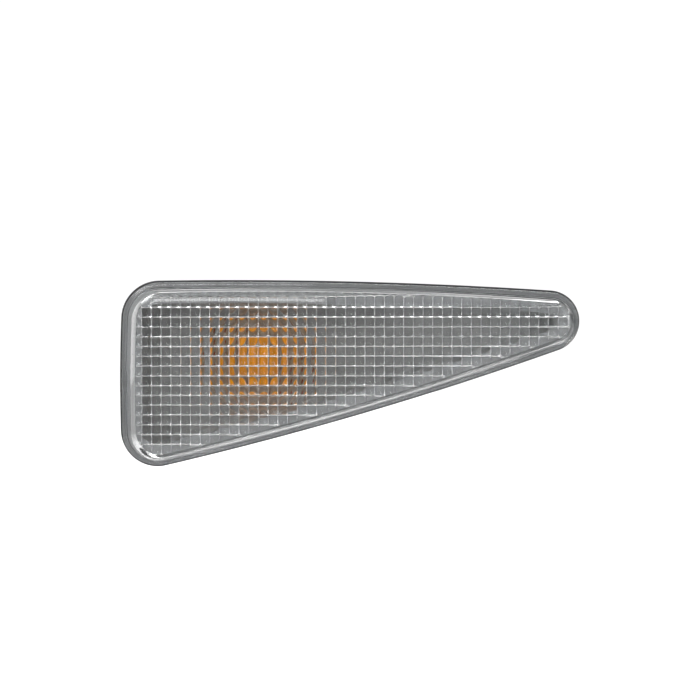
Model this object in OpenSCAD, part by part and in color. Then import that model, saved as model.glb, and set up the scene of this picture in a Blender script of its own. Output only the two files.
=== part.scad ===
// Wing-mounted side indicator lamp with a clear lens over a grey housing
// and an amber wedge-base bulb in a twist-lock holder.
//
// X runs along the lamp towards its narrow end, Z is up, and the lens
// faces -Y. The origin is on the bulb's axis, in the plane of the gasket's
// rear face, where the lamp meets the car's wing. All sizes are in mm.

/* [Outline] */
// Radius of the upper corner at the wide end
corner_top_r = 7.0; // [6.5:0.1:7.6]
// Radius of the lower corner at the wide end
corner_low_r = 6.7; // [6.2:0.1:7.3]
// Radius of the narrow end
tip_r = 5.6; // [5.3:0.1:6]
// Height of the upper corner's centre above the bulb's axis
corner_top_z = 7.84; // [7.5:0.02:8.3]
// Depth of the lower corner's centre below the bulb's axis
corner_low_z = 12.32; // [12:0.02:13]
// Distance from the bulb's axis to the narrow end's centre
tip_x = 52.9; // [50.5:0.1:56]
// Height of the narrow end's centre above the bulb's axis
tip_z = 7.42; // [7.1:0.02:7.8]

/* [Lens] */
// Height of the lens edge's flat step above the wing
step_h = 3.3; // [3.2:0.05:3.5]
// Height of the crowned front face above the wing
face_h = 6.2; // [6:0.05:6.5]
// Radius of the front face's crown along the lamp
crown_r = 1400; // [1100:100:2200]
// Height of the lens's inner face above the wing
inner_h = 4.1; // [4:0.05:4.2]
// Spacing of the optic pads along the lamp
pad_pitch_x = 1.757; // [1.7:0.001:1.85]
// Spacing of the optic pads up the lamp
pad_pitch_z = 1.771; // [1.7:0.001:1.85]
// Width of the gap between two pads
pad_gap = 0.26; // [0.22:0.01:0.34]
// How far the pads stand out from the inner face
pad_h = 0.4; // [0.3:0.05:0.5]

/* [Housing] */
// Thickness of the uncompressed gasket
gasket_t = 1.0; // [0.9:0.05:1.1]
// Depth of the tray's floor below the wing's surface
floor_depth = 5.5; // [5.2:0.1:6.2]
// Thickness of the tray's walls
wall = 1.2; // [1:0.1:1.3]
// Thickness of the tray's floor
floor_t = 1.3; // [1.2:0.1:1.6]
// Outer radius of the bulb well
well_r = 11.2; // [11:0.1:11.4]
// Radius of the bulb holder's hole in the housing
hole_r = 7.6; // [7.5:0.05:7.7]

/* [Bulb and holder] */
// Radius of the bulb's glass
bulb_r = 5.1; // [4.6:0.05:5.2]
// Depth of the bulb's tip below the wing's surface
bulb_tip = 2.2; // [2:0.1:2.6]
// Overall length of the bulb
bulb_len = 25.5; // [25:0.1:25.7]
// Turn from locked to released, in degrees
twist = 45; // [40:1:50]
// Running clearance of the holder's neck in its hole
neck_gap = 0.06; // [0.04:0.01:0.1]

/* [Hidden] */
$fn = 96;

// --- outline ------------------------------------------------------------
// Three corner arcs joined by three long, slightly bowed edges. Every arc
// is tangent to the next, so an inward offset only shortens the radii.
CC = [[-18.2, corner_top_z], [-18.62, -corner_low_z], [tip_x, tip_z]];
CR = [corner_top_r, corner_low_r, tip_r];
ER = [315, 660, 885];

function bow(i) =
    let (j = (i + 1) % 3, a = ER[i] - CR[i], b = ER[i] - CR[j],
         v = CC[j] - CC[i], d = norm(v), u = v / d,
         x = (a * a - b * b + d * d) / (2 * d))
    CC[i] + u * x + [-u[1], u[0]] * sqrt(a * a - x * x);
EC = [for (i = [0:2]) bow(i)];
function dir(v) = atan2(v[1], v[0]);
function past(a, b) = a + (((b - a) % 360) + 360) % 360;
A0 = [for (i = [0:2]) dir(CC[i] - EC[(i + 2) % 3])];
A1 = [for (i = [0:2]) past(A0[i], dir(CC[i] - EC[i]))];
E1 = [for (i = [0:2]) past(A1[i], dir(CC[(i + 1) % 3] - EC[i]))];
STEPS = [15, 17, 26];   // points round each corner
EDGES = [6, 14, 14];    // points along each long edge

// Points of the outline, d inside it and moved by s
function outline(d, s = [0, 0]) = [for (i = [0:2]) each concat(
    [for (k = [0:STEPS[i]]) let (a = A0[i] + (A1[i] - A0[i]) * k / STEPS[i])
        CC[i] + s + (CR[i] - d) * [cos(a), sin(a)]],
    [for (k = [1:EDGES[i] - 1]) let (a = A1[i] + (E1[i] - A1[i]) * k / EDGES[i])
        EC[i] + s + (ER[i] - d) * [cos(a), sin(a)]])];

// --- depths, as heights above the wing's surface --------------------------
flange_top = gasket_t + 1.2;          // housing's flange, lens's seat
lens_edge = 0.35;                     // lens's edge inside the outline
lens_in = 2.6;                        // inner wall at the optics, inside the outline
lens_mouth = 2.1;                     // inner wall at the seat, inside the outline
tray_in = 2.9;                        // tray's outer wall inside the outline
well_end = -21.4;                     // rear of the well's end wall
well_floor = -19.0;                   // front of the well's end wall
well_wall = 1.4;                      // thickness of the well's wall
lean = [0.1, -0.28];                  // the raised face sits a little low
optic_shift = [0.1, -0.45];           // and the optics lower still
neck_front = -16.6;
seat = -22.6;                         // front of the holder's flange
holder_back = -24.6;                  // rear of the holder's flange
pocket_end = -28.8;                   // floor of the bulb's pocket
web_end = -30.2;                      // floor of the plug's socket
socket_end = -40.2;                   // mouth of the plug's socket
blade_end = -37.2;                    // where the blades' points start
base_end = -(bulb_tip + bulb_len);    // lower end of the bulb's glass
pinch_top = base_end + 7.0;           // where the glass becomes flat
lug_at = 20;                          // angle of the first locking lug
clip_z = -2.2;                        // height of the clip's middle
clip_x = -22.7;                       // face that the clip lies on

// Everything is drawn with depth along +Z and then stood up.
module stand() { rotate([90, 0, 0]) children(); }

module layer(d, z0, z1, s = [0, 0]) {
    translate([0, 0, z0]) linear_extrude(z1 - z0) polygon(outline(d, s));
}

module ring(d0, d1, z0, z1) {
    translate([0, 0, z0]) linear_extrude(z1 - z0) difference() {
        polygon(outline(d0));
        polygon(outline(d1));
    }
}

module disc(r, z0, z1) { translate([0, 0, z0]) cylinder(r = r, h = z1 - z0); }

module box2(x0, x1, y0, y1, z0, z1) {
    translate([x0, y0, z0]) cube([x1 - x0, y1 - y0, z1 - z0]);
}

// Sector of a ring, centred on an angle
module sector(r0, r1, at, w, z0, z1) {
    translate([0, 0, z0]) linear_extrude(z1 - z0) intersection() {
        difference() { circle(r1); circle(r0); }
        rotate(at) polygon([[0, 0], 2 * r1 * [cos(w / 2), -sin(w / 2)],
                            2 * r1 * [cos(w / 2), sin(w / 2)]]);
    }
}

// Rectangle with round corners
module rounded(w, h, r) {
    square([w - 2 * r, h], center = true);
    square([w, h - 2 * r], center = true);
    for (i = [-1, 1], j = [-1, 1]) translate([i * (w / 2 - r), j * (h / 2 - r)])
        circle(r, $fn = 32);
}

// --- lens ---------------------------------------------------------------
// Clear moulding: a flat step round the edge, a sloping wall with a round
// shoulder, a crowned face and square optic pads on the inside.

// Rings of the outer skin, each [inset, height, share of the lean]
SKIN = [[lens_edge, flange_top, 0], [lens_edge, step_h - 0.2, 0],
        [lens_edge + 0.2, step_h, 0], [0.88, step_h, 0.2], [1.58, face_h - 1.26, 0.8],
        [1.75, face_h - 0.84, 0.9], [2.1, face_h - 0.42, 1], [2.66, face_h - 0.14, 1],
        [3.64, face_h, 1]];
FADE = [0.75, 0.4];       // rings of the face, as shares of the last
mid = [14, 1.4];

function bend(x, h) = h > step_h ? h - pow(x - 16.8, 2) / (2 * crown_r) : h;
function skin_rings() = concat(
    [for (r = SKIN) [for (p = outline(r[0], lean * r[2])) [p[0], p[1], bend(p[0], r[1])]]],
    [for (f = FADE) [for (p = outline(3.64, lean)) let (q = mid + f * (p - mid))
        [q[0], q[1], bend(q[0], face_h)]]]);

module skin() {
    rings = skin_rings();
    n = len(rings[0]);
    m = len(rings);
    points = concat([for (r = rings) each r], [[mid[0], mid[1], bend(mid[0], face_h)]]);
    faces = concat(
        [[for (i = [0:n - 1]) i]],
        [for (k = [0:m - 2], i = [0:n - 1]) let (j = (i + 1) % n)
            [k * n + i, (k + 1) * n + i, (k + 1) * n + j]],
        [for (k = [0:m - 2], i = [0:n - 1]) let (j = (i + 1) % n)
            [k * n + i, (k + 1) * n + j, k * n + j]],
        [for (i = [0:n - 1]) [(m - 1) * n + i, m * n, (m - 1) * n + (i + 1) % n]]);
    polyhedron(points, faces, convexity = 6);
}

module lens() {
    color([0.80, 0.83, 0.84, 0.55]) stand() {
        difference() {
            skin();
            // cavity, with a drafted wall
            hull() {
                layer(lens_mouth, flange_top - 1, flange_top);
                layer(lens_in, inner_h - pad_h - 0.05, inner_h - pad_h, optic_shift);
            }
            // gaps between the optic pads
            translate([0, 0, inner_h - pad_h - 0.5]) linear_extrude(pad_h + 0.5) difference() {
                polygon(outline(lens_in + 0.15, optic_shift));
                for (i = [-14:32], j = [-11:7])
                    translate([pad_pitch_x * (i + 0.42), pad_pitch_z * (j + 0.1)])
                        square([pad_pitch_x - pad_gap, pad_pitch_z - pad_gap], center = true);
            }
        }
        // rib that is welded into the housing's groove
        ring(1.1, 2.0, flange_top - 0.65, flange_top + 0.3);
    }
}

// --- housing --------------------------------------------------------------
// Grey moulding: a flange with the groove that the lens is welded into, a
// tray that gets shallower towards the tip, and the bulb's well.
module tray_side(drop) {
    rotate([90, 0, 0]) linear_extrude(84, center = true)
        polygon([[-42, 14], [-42, -floor_depth - drop], [16.8, -floor_depth - drop],
                 [63, -3.1 - drop], [63, 14]]);
}

module housing() {
    color([0.50, 0.50, 0.50]) stand() {
        difference() {
            union() {
                layer(lens_edge, gasket_t, flange_top);
                intersection() { layer(tray_in, -10, gasket_t + 0.1); tray_side(floor_t); }
                disc(well_r, well_end, -floor_depth - 0.5);
                // pad that the clip lies on
                box2(clip_x, -21.2, clip_z - 6, clip_z + 6, -8.4, -2.2);
                // fixed hook at the narrow end
                box2(53.2, tip_x + 4.7, tip_z - 2.5, tip_z + 2.5, -4.3, -2.25);
                // ribs behind the tray
                translate([0, 3.6, 0]) rotate([90, 0, 0]) linear_extrude(1.4)
                    polygon([[9, -6.2], [9, -9.5], [32, -9.5], [42.7, -5.3]]);
                box2(-21, -well_r + 1.2, 2.2, 3.6, -9.5, -6.3);
            }
            // the tray's cavity and the well
            intersection() { layer(tray_in + wall, -10, flange_top + 1); tray_side(0); }
            disc(well_r - well_wall, well_floor, 0);
            // groove for the lens
            ring(1.05, 2.05, flange_top - 0.7, flange_top + 1);
            // the holder's hole with its two notches
            disc(hole_r, well_end - 1, well_floor + 1);
            for (k = [0, 180])
                sector(7, 9.6, lug_at - twist + k, 30, well_end - 1, well_floor + 1);
        }
        // stops for the two locking lugs
        for (k = [0, 180]) {
            sector(7.9, 10.2, lug_at + 17.5 + k, 6, well_floor, well_floor + 2);
            sector(7.9, 10.2, lug_at - twist - 18.5 + k, 6, well_floor, well_floor + 2);
        }
        // stud with a staked head for the clip
        translate([clip_x + 0.5, clip_z, -5.2]) rotate([0, -90, 0]) {
            cylinder(r = 1.1, h = 1.2, $fn = 48);
            translate([0, 0, 0.94]) cylinder(r1 = 1.8, r2 = 1.35, h = 0.4, $fn = 48);
        }
    }
}

// --- gasket ---------------------------------------------------------------
module gasket() {
    color([0.13, 0.13, 0.14]) stand() ring(0, 2.3, 0, gasket_t);
}

// --- spring clip -----------------------------------------------------------
// Steel leaf: a flat leg on the housing, a bend, and a springy outer leg
// with a knee that snaps behind the edge of the wing's opening.
function leaf_mid() = concat(
    [[-0.21, -2.6], [-0.21, -7.5]],
    [for (a = [15:15:165]) [-0.86 + 0.65 * cos(a), -7.5 - 0.65 * sin(a)]],
    [[-1.53, -7.3], [-1.86, -4.4]],
    [for (a = [15:30:135]) [-1.47 - 0.4 * cos(a), -4.3 + 0.4 * sin(a)]],
    [[-0.8, -3.05]]);
function leaf_side(p, t) = [for (i = [0:len(p) - 1]) let (
    a = p[max(i - 1, 0)], b = p[min(i + 1, len(p) - 1)], u = (b - a) / norm(b - a))
    p[i] + t * [-u[1], u[0]]];

module spring_clip() {
    color([0.72, 0.73, 0.74]) stand() translate([clip_x, clip_z, 0]) difference() {
        rotate([90, 0, 0]) linear_extrude(10, center = true) polygon(concat(
            leaf_side(leaf_mid(), 0.2),
            [for (i = [len(leaf_mid()) - 1:-1:0]) leaf_side(leaf_mid(), -0.2)[i]]));
        translate([-1, 0, -5.2]) rotate([0, 90, 0]) cylinder(r = 1.2, h = 1.5, $fn = 48);
        // way in for the staking tool
        translate([-5, 0, -5.2]) rotate([0, 90, 0]) cylinder(r = 2.0, h = 4.2, $fn = 48);
    }
}

// --- bulb holder ------------------------------------------------------------
// Turned into the housing from behind, with two locking lugs, the bulb's
// pocket in front and the plug's socket behind.
module bulb_holder() {
    color([0.62, 0.62, 0.60]) stand() difference() {
        union() {
            disc(hole_r - neck_gap, seat - 0.1, neck_front);
            for (k = [0, 180]) sector(7, 9.4, lug_at + k, 26, well_floor + 0.05, neck_front);
            disc(11.0, holder_back, seat);
            translate([0, 0, socket_end]) linear_extrude(seat - socket_end) rounded(16, 13.2, 2);
            // finger grips
            for (s = [-1, 1]) translate([0, 0, holder_back - 8]) linear_extrude(9)
                translate([s * 9.7, 0]) square([5.6, 2.4], center = true);
            // latch nose for the plug
            translate([-2.5, 6.4, 0]) rotate([90, 0, 90]) linear_extrude(5)
                polygon([[0, socket_end + 5.6], [1.5, socket_end + 5], [0, socket_end + 2.2]]);
        }
        disc(bulb_r + 0.4, pinch_top - 0.6, neck_front + 1);
        box2(-5.1, 5.1, -3.1, 3.1, pocket_end, pinch_top);
        translate([0, 0, socket_end - 1]) linear_extrude(web_end - socket_end + 1) rounded(13, 10.2, 1);
        for (s = [-1, 1]) box2(-1.45, 1.45, s * 2.9 - 0.45, s * 2.9 + 0.45, web_end - 1, pocket_end + 1);
    }
}

module holder_seal() {
    color([0.62, 0.20, 0.12]) stand() difference() {
        disc(10.3, seat, well_end - 0.05);
        disc(hole_r + 0.1, seat - 1, well_end + 1);
    }
}

// --- contacts ---------------------------------------------------------------
// Stamped strip: a bowed spring beside the bulb's base and a flat blade in
// the plug's socket.
module contact(s) {
    color([0.80, 0.66, 0.36]) stand() scale([1, s, 1]) {
        translate([-2.5, 0, 0]) rotate([90, 0, 90]) linear_extrude(5) polygon([
            [2.5, pocket_end], [2.5, -26.6], [1.53, -24.6], [1.53, -24.0], [2.5, -22.2],
            [2.5, -21.7], [3.0, -21.7], [3.0, -22.4], [2.03, -24.2], [2.03, -24.5],
            [3.0, -26.5], [3.0, pocket_end]]);
        box2(-1.4, 1.4, 2.5, 3.3, blade_end, pocket_end);
        translate([0, 0, blade_end]) rotate([90, 0, 0]) translate([0, 0, -3.3]) linear_extrude(0.8)
            polygon([[-1.4, 0], [1.4, 0], [0.9, -0.8], [-0.9, -0.8]]);
    }
}
module contact_a() { contact(1); }
module contact_b() { contact(-1); }

// --- bulb -------------------------------------------------------------------
module bulb_envelope() {
    color([1.0, 0.55, 0.08, 0.75]) stand() {
        difference() {
            union() {
                disc(bulb_r, pinch_top, -bulb_tip - bulb_r);
                translate([0, 0, -bulb_tip - bulb_r]) sphere(bulb_r);
                translate([0, 0, base_end]) linear_extrude(pinch_top - base_end + 0.6)
                    rounded(9.5, 2.2, 0.6);
            }
            disc(bulb_r - 0.6, pinch_top + 1.4, -bulb_tip - bulb_r);
            translate([0, 0, -bulb_tip - bulb_r]) sphere(bulb_r - 0.6);
        }
    }
}

module lead(s) {
    color([0.70, 0.70, 0.70]) stand() scale([s, s, 1]) translate([-1.9, 0, 0]) {
        translate([0, 0, base_end]) cylinder(r = 0.2, h = 19.4, $fn = 24);
        translate([0, 0.65, base_end]) rotate([0, 90, 0]) rotate([0, 0, -90])
            rotate_extrude(angle = 180, $fn = 48) translate([0.65, 0]) circle(0.2, $fn = 24);
        translate([0, 1.3, base_end]) cylinder(r = 0.2, h = 4.6, $fn = 24);
    }
}
module bulb_lead_a() { lead(1); }
module bulb_lead_b() { lead(-1); }

module bulb_filament() {
    color([0.45, 0.45, 0.46]) stand() translate([-1.8, 0, base_end + 19])
        rotate([0, 90, 0]) cylinder(r = 0.3, h = 3.6, $fn = 24);
}

lens();
housing();
gasket();
spring_clip();
bulb_holder();
holder_seal();
contact_a();
contact_b();
bulb_envelope();
bulb_lead_a();
bulb_lead_b();
bulb_filament();
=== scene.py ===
import bpy
import bmesh
import math
import numpy as np
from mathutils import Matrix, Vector
from mathutils.geometry import delaunay_2d_cdt


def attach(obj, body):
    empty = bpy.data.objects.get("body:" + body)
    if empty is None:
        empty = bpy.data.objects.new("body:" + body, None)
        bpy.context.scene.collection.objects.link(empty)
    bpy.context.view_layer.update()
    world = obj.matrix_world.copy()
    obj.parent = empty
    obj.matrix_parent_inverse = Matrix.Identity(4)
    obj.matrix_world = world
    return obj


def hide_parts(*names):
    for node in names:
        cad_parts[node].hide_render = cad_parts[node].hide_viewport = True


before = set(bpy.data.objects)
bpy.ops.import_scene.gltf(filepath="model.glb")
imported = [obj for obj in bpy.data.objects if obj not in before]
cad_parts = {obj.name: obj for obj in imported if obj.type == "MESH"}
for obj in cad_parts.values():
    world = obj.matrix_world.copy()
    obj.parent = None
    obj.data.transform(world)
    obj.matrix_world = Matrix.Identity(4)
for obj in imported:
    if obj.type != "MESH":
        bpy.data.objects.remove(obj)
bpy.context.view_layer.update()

# ---------------------------------------------------------------------------
# Local drawing frame: x along the lamp, y up, z towards the viewer, in mm.
# The row frame is x, -z, y in metres.
# ---------------------------------------------------------------------------
MM = 0.001


def W(x, y, z):
    return (x * MM, -z * MM, y * MM)


# --- outline: three corner arcs joined by three bowed edges -----------------
CC = [(-18.2, 7.84), (-18.62, -12.32), (52.9, 7.42)]
CR = [7.0, 6.7, 5.6]
ER = [315.0, 660.0, 885.0]


def _bow(i):
    j = (i + 1) % 3
    a, b = ER[i] - CR[i], ER[i] - CR[j]
    vx, vy = CC[j][0] - CC[i][0], CC[j][1] - CC[i][1]
    d = math.hypot(vx, vy)
    ux, uy = vx / d, vy / d
    x = (a * a - b * b + d * d) / (2 * d)
    h = math.sqrt(a * a - x * x)
    return (CC[i][0] + ux * x - uy * h, CC[i][1] + uy * x + ux * h)


EC = [_bow(i) for i in range(3)]


def _dir(p, q):
    return math.atan2(p[1] - q[1], p[0] - q[0])


def _past(a, b):
    return a + (b - a) % (2 * math.pi)


A0 = [_dir(CC[i], EC[(i + 2) % 3]) for i in range(3)]
A1 = [_past(A0[i], _dir(CC[i], EC[i])) for i in range(3)]
E1 = [_past(A1[i], _dir(CC[(i + 1) % 3], EC[i])) for i in range(3)]
COARSE = ((26, 28, 44), (20, 64, 60))
FINE = ((60, 64, 90), (110, 420, 400))
LEAN = (0.1, -0.28)


def outline(d, lean=0.0, steps=COARSE, shift=None):
    """Points (x, y) of the outline d inside it, with their share of the way round."""
    sx, sy = shift or (LEAN[0] * lean, LEAN[1] * lean)
    pts, par = [], []
    for i in range(3):
        n = steps[0][i]
        for k in range(n + 1):
            a = A0[i] + (A1[i] - A0[i]) * k / n
            pts.append((CC[i][0] + sx + (CR[i] - d) * math.cos(a),
                        CC[i][1] + sy + (CR[i] - d) * math.sin(a)))
            par.append(2 * i + k / n)
        n = steps[1][i]
        for k in range(1, n):
            a = A1[i] + (E1[i] - A1[i]) * k / n
            pts.append((EC[i][0] + sx + (ER[i] - d) * math.cos(a),
                        EC[i][1] + sy + (ER[i] - d) * math.sin(a)))
            par.append(2 * i + 1 + k / n)
    return pts, par


# --- small mesh kit -----------------------------------------------------------
class Mesh:
    def __init__(self):
        self.v, self.f, self.tag = [], [], []

    def loop(self, pts):
        """pts: (x, y, z) local"""
        a = len(self.v)
        self.v.extend(pts)
        return list(range(a, len(self.v)))

    def face(self, f, tag=0):
        self.f.append(tuple(f))
        self.tag.append(tag)

    def bridge(self, a, b, tag=0):
        n = len(a)
        for i in range(n):
            j = (i + 1) % n
            self.face((a[i], a[j], b[j], b[i]), tag)

    def zipper(self, a, pa, b, pb, tag=0):
        """Joins two loops with different counts; pa, pb rise along each loop."""
        i = j = 0
        na, nb = len(a), len(b)
        while i < na or j < nb:
            ta = pa[i + 1] if i + 1 < na else 6.0
            tb = pb[j + 1] if j + 1 < nb else 6.0
            if j >= nb or (i < na and ta <= tb):
                self.face((a[i % na], a[(i + 1) % na], b[j % nb]), tag)
                i += 1
            else:
                self.face((a[i % na], b[(j + 1) % nb], b[j % nb]), tag)
                j += 1

    def strip_cap(self, a):
        """Fills a loop whose height depends on x alone, in strips from side to side"""
        n = len(a)
        lo = min(range(n), key=lambda k: self.v[a[k]][0])
        hi = max(range(n), key=lambda k: self.v[a[k]][0])
        one, two = [], []
        k = lo
        while True:
            one.append(a[k])
            if k == hi:
                break
            k = (k + 1) % n
        k = lo
        while True:
            two.append(a[k])
            if k == hi:
                break
            k = (k - 1) % n
        i = j = 0
        while i < len(one) - 1 or j < len(two) - 1:
            xi = self.v[one[i + 1]][0] if i < len(one) - 1 else 1e9
            xj = self.v[two[j + 1]][0] if j < len(two) - 1 else 1e9
            if xi <= xj:
                f = (one[i], one[i + 1], two[j])
                i += 1
            else:
                f = (one[i], two[j + 1], two[j])
                j += 1
            if len(set(f)) == 3:
                self.face(f)

    def make(self, name, smooth=35.0):
        me = bpy.data.meshes.new(name)
        me.from_pydata([W(*p) for p in self.v], [], self.f)
        me.validate(clean_customdata=False)
        if any(self.tag):
            at = me.attributes.new("zone", "INT", "FACE")
            at.data.foreach_set("value", np.array(self.tag, np.int32))
        fix_normals(me)
        ob = bpy.data.objects.new(name, me)
        bpy.context.scene.collection.objects.link(ob)
        if smooth is not None:
            smooth_by(ob, smooth)
        return ob


def fix_normals(me):
    bm = bmesh.new()
    bm.from_mesh(me)
    bmesh.ops.recalc_face_normals(bm, faces=bm.faces)
    bm.to_mesh(me)
    bm.free()


def smooth_by(ob, angle):
    me = ob.data
    me.polygons.foreach_set("use_smooth", np.ones(len(me.polygons), bool))
    me.set_sharp_from_angle(angle=math.radians(angle))
    me.update()


def weighted(ob):
    m = ob.modifiers.new("weighted", "WEIGHTED_NORMAL")
    m.keep_sharp = True
    m.weight = 50
    return ob


def rings_solid(name, rings, closed=False, smooth=35.0, strip=False):
    """A solid through a stack of loops with the same count, capped, or closed on itself."""
    m = Mesh()
    loops = [m.loop(r) for r in rings]
    for a, b in zip(loops, loops[1:]):
        m.bridge(a, b)
    if closed:
        m.bridge(loops[-1], loops[0])
    elif strip:
        m.strip_cap(loops[0])
        m.strip_cap(loops[-1])
    else:
        m.face(reversed(loops[0]))
        m.face(loops[-1])
    return m.make(name, smooth)


def outline_solid(name, levels, steps=COARSE, smooth=35.0, closed=False, strip=False):
    """levels: (inset, height), where a height may depend on x"""
    rings = []
    for d, z in levels:
        pts, _ = outline(d, 0, steps)
        rings.append([(x, y, z(x) if callable(z) else z) for x, y in pts])
    return rings_solid(name, rings, closed, smooth, strip)


def along(x, y, z):
    return (x, y, z)


def lathe(name, profile, n=96, put=along, smooth=35.0, closed=False):
    """profile: (r, z) from back to front; capped, or closed on itself"""
    rings = [[put(r * math.cos(2 * math.pi * k / n), r * math.sin(2 * math.pi * k / n), z)
              for k in range(n)] for r, z in profile]
    return rings_solid(name, rings, closed, smooth)


def rrect(w, h, r, n=8):
    """Points of a rectangle with round corners"""
    out = []
    for cx, cy, a in ((w / 2 - r, h / 2 - r, 0), (-w / 2 + r, h / 2 - r, 90),
                      (-w / 2 + r, -h / 2 + r, 180), (w / 2 - r, -h / 2 + r, 270)):
        for k in range(n + 1):
            t = math.radians(a + 90 * k / n)
            out.append((cx + r * math.cos(t), cy + r * math.sin(t)))
    return out


def rrect_solid(name, levels, w, h, r, n=8):
    """levels: (inset, z)"""
    rings = []
    for d, z in levels:
        rings.append([(x, y, z) for x, y in rrect(w - 2 * d, h - 2 * d, max(r - d, 0.05), n)])
    return rings_solid(name, rings)


def bevel_mesh(ob, r, seg=2, angle=30.0):
    bm = bmesh.new()
    bm.from_mesh(ob.data)
    edges = [e for e in bm.edges if len(e.link_faces) == 2
             and e.calc_face_angle(0) > math.radians(angle)]
    bmesh.ops.bevel(bm, geom=edges, offset=r * MM, offset_type="OFFSET", segments=seg,
                    profile=0.5, affect="EDGES", clamp_overlap=True)
    bm.to_mesh(ob.data)
    bm.free()
    return ob


def round_box(name, x0, x1, y0, y1, z0, z1, r=0.25, seg=2):
    """Box with rounded edges"""
    m = Mesh()
    a = m.loop([(x0, y0, z0), (x1, y0, z0), (x1, y1, z0), (x0, y1, z0)])
    b = m.loop([(x0, y0, z1), (x1, y0, z1), (x1, y1, z1), (x0, y1, z1)])
    m.face(reversed(a))
    m.face(b)
    m.bridge(a, b)
    ob = m.make(name, None)
    if r > 0:
        bevel_mesh(ob, r, seg)
    return ob


def extrude_side(name, pts, a0, a1, plane="xz", r=0.0, seg=2, angle=30.0):
    """A solid from a flat outline: xz is extruded along y, yz along x, xy along z."""
    m = Mesh()
    put = {"xz": lambda p, t: (p[0], t, p[1]), "yz": lambda p, t: (t, p[0], p[1]),
           "xy": lambda p, t: (p[0], p[1], t)}[plane]
    a = m.loop([put(p, a0) for p in pts])
    b = m.loop([put(p, a1) for p in pts])
    m.face(reversed(a))
    m.face(b)
    m.bridge(a, b)
    ob = m.make(name, None)
    if r > 0:
        bevel_mesh(ob, r, seg, angle)
    return ob


def sector(name, r0, r1, at, w, z0, z1, n=10, r=0.0):
    pts = [(r1 * math.cos(math.radians(at - w / 2 + w * k / n)),
            r1 * math.sin(math.radians(at - w / 2 + w * k / n))) for k in range(n + 1)]
    pts += [(r0 * math.cos(math.radians(at + w / 2 - w * k / n)),
             r0 * math.sin(math.radians(at + w / 2 - w * k / n))) for k in range(n + 1)]
    return extrude_side(name, pts, z0, z1, "xy", r)


def band(path, t):
    """Outline of a strip of thickness 2 t along a path"""
    one, two = [], []
    n = len(path)
    for i, p in enumerate(path):
        a, b = path[max(i - 1, 0)], path[min(i + 1, n - 1)]
        ux, uy = b[0] - a[0], b[1] - a[1]
        q = math.hypot(ux, uy)
        ux, uy = ux / q, uy / q
        one.append((p[0] - uy * t, p[1] + ux * t))
        two.append((p[0] + uy * t, p[1] - ux * t))
    return one + two[::-1]


def rounded_path(pts, radii, n=6):
    """Straight runs joined by arcs"""
    out = [pts[0]]
    for i in range(1, len(pts) - 1):
        p, a, b = Vector(pts[i]), Vector(pts[i - 1]), Vector(pts[i + 1])
        u, v = (a - p).normalized(), (b - p).normalized()
        half = math.acos(max(-1, min(1, u.dot(v)))) / 2
        r = radii[i - 1]
        reach = r / math.tan(half)
        c = p + (u + v).normalized() * (r / math.sin(half))
        s, e = p + u * reach, p + v * reach
        a0 = math.atan2(s.y - c.y, s.x - c.x)
        a1 = math.atan2(e.y - c.y, e.x - c.x)
        turn = (a1 - a0 + math.pi) % (2 * math.pi) - math.pi
        for k in range(n + 1):
            t = a0 + turn * k / n
            out.append((c.x + r * math.cos(t), c.y + r * math.sin(t)))
    out.append(pts[-1])
    return out


def boolean(ob, others, op="UNION"):
    for o in (others if isinstance(others, list) else [others]):
        md = ob.modifiers.new("cut", "BOOLEAN")
        md.operation = op
        md.object = o
        md.solver = "MANIFOLD"
        dg = bpy.context.evaluated_depsgraph_get()
        me = bpy.data.meshes.new_from_object(ob.evaluated_get(dg))
        ob.modifiers.clear()
        old = ob.data
        ob.data = me
        bpy.data.meshes.remove(old)
        gone = o.data
        bpy.data.objects.remove(o)
        bpy.data.meshes.remove(gone)
    return ob


def tidy(ob, angle=32.0):
    bm = bmesh.new()
    bm.from_mesh(ob.data)
    bmesh.ops.remove_doubles(bm, verts=bm.verts, dist=2e-7)
    bmesh.ops.dissolve_degenerate(bm, edges=bm.edges, dist=2e-7)
    bm.to_mesh(ob.data)
    bm.free()
    smooth_by(ob, angle)
    weighted(ob)
    return ob


def tube(name, path, r, n=10, smooth=60.0):
    """A round wire along a list of local points"""
    p = [Vector(q) for q in path]
    m = Mesh()
    loops = []
    t0 = (p[1] - p[0]).normalized()
    up = Vector((0, 0, 1)) if abs(t0.z) < 0.9 else Vector((1, 0, 0))
    side = t0.cross(up).normalized()
    for i, q in enumerate(p):
        t = (p[min(i + 1, len(p) - 1)] - p[max(i - 1, 0)]).normalized()
        side = (side - t * side.dot(t)).normalized()
        nrm = t.cross(side)
        loops.append(m.loop([tuple(q + r * (side * math.cos(2 * math.pi * k / n)
                                            + nrm * math.sin(2 * math.pi * k / n)))
                             for k in range(n)]))
    for a, b in zip(loops, loops[1:]):
        m.bridge(a, b)
    m.face(reversed(loops[0]))
    m.face(loops[-1])
    return m.make(name, smooth)


def finish_piece(ob, name, body, node, mat):
    ob.name = name
    ob.data.name = name
    ob.data.materials.clear()
    ob.data.materials.append(mat)
    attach(ob, body)
    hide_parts(node)
    return ob


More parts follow.
